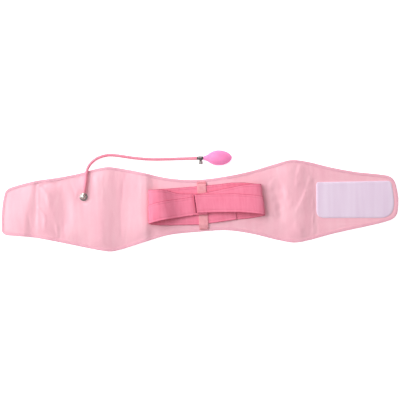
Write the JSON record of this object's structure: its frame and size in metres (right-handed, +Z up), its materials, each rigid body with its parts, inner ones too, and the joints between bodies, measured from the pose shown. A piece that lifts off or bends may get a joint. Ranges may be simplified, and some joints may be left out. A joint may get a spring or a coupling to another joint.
{
  "type": "pelvic support belt",
  "caption": "Contoured padded pelvic support belt with bound edge, hook patch, folded elastic tension bands under a keeper, and a hand-bulb air pump on a rubber tube.",
  "frame": {"origin": "on the table under the middle of the panel's box, with the pump and its tube left out", "axes": "+X along the belt towards the hook patch, +Y across it towards the pump, +Z up from the table"},
  "size_m": [1.0501, 0.2586, 0.0408],
  "materials": {
    "satin_cloth": "soft satin sheen",
    "binding_tape": "plain woven tape",
    "hook_tape": "matt hook pile",
    "elastic_webbing": "ribbed woven elastic",
    "keeper_webbing": "plain woven webbing",
    "nickel_plate": "bright nickel plate",
    "tube_rubber": "smooth satin rubber",
    "bulb_rubber": "smooth satin rubber"
  },
  "bodies": {
    "belt": {"belt_panel": "satin_cloth", "edge_binding": "binding_tape", "hook_patch": "hook_tape", "band_upper": "elastic_webbing", "band_lower_left": "elastic_webbing", "band_lower_right": "elastic_webbing", "strap_keeper": "keeper_webbing", "inlet_elbow": "nickel_plate", "air_tube": "tube_rubber", "pump_bulb": "bulb_rubber", "pump_valve": "nickel_plate"},
    "screw": {"release_screw": "nickel_plate"}
  },
  "joints": [
    {"name": "release_screw_turn", "type": "hinge", "parent": "belt", "child": "screw", "pos_m": [0.00713, 0.12542, 0.01191], "axis": [-0.0279, -0.9996, 0], "range_deg": [0, 540]}
  ]
}
